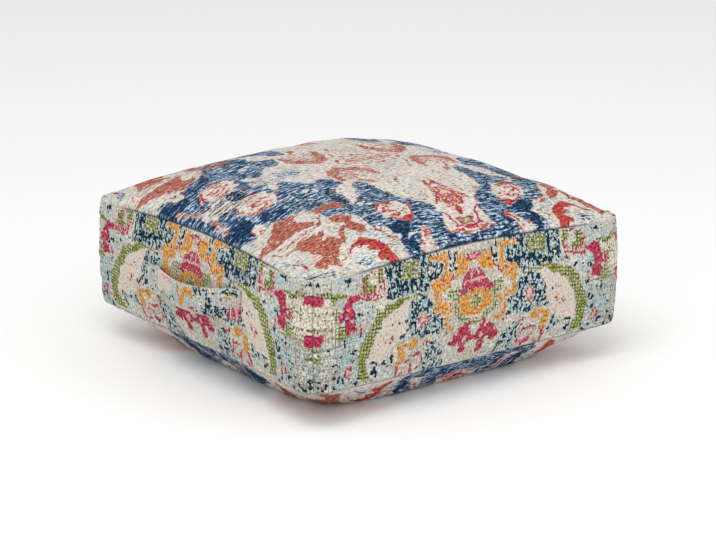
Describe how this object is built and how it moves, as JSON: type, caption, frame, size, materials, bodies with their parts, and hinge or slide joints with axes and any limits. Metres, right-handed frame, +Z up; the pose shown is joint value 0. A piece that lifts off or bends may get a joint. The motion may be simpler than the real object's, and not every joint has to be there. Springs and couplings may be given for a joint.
{
  "type": "square floor pouf",
  "caption": "Square stuffed floor pouf with crowned top and bottom, boxed sides, a cloth grab handle and a zip across the back.",
  "frame": {"origin": "on the floor, under the middle of the cushion", "axes": "+Z up; the front faces -Y, the handle is on the left side toward -X, the zip is across the back toward +Y"},
  "size_m": [0.6444, 0.6255, 0.308],
  "materials": {
    "printed_cloth": "matte",
    "webbing": "matte",
    "thread": "matte",
    "zip_tape": "matte",
    "zip_teeth": "satin",
    "zip_metal": "satin",
    "liner_cloth": "matte",
    "fibre": "matte",
    "foam": "matte"
  },
  "bodies": {
    "pouf": {"top_panel": "printed_cloth", "bottom_panel": "printed_cloth", "front_panel": "printed_cloth", "right_panel": "printed_cloth", "left_panel": "printed_cloth", "back_panel_upper": "printed_cloth", "back_panel_lower": "printed_cloth", "handle_strap": "printed_cloth", "handle_webbing": "webbing", "handle_stitches": "thread", "zip_tape_upper": "zip_tape", "zip_tape_lower": "zip_tape", "zip_teeth_upper": "zip_teeth", "zip_teeth_lower": "zip_teeth", "zip_top_stops": "zip_metal", "zip_bottom_stop": "zip_metal", "liner_top": "liner_cloth", "liner_band": "liner_cloth", "liner_bottom": "liner_cloth", "wrap_top": "fibre", "wrap_band": "fibre", "wrap_bottom": "fibre", "foam_core": "foam"},
    "slider": {"zip_slider": "zip_metal"},
    "pull": {"zip_pull": "zip_metal"}
  },
  "joints": [
    {"name": "zip_slide", "type": "slide", "parent": "pouf", "child": "slider", "axis": [-1, 0, 0], "range_m": [0, 0.488]},
    {"name": "pull_swing", "type": "hinge", "parent": "slider", "child": "pull", "pos_m": [0.2442, 0.3138, 0.149], "axis": [0, 0, -1], "range_deg": [0, 180]}
  ]
}
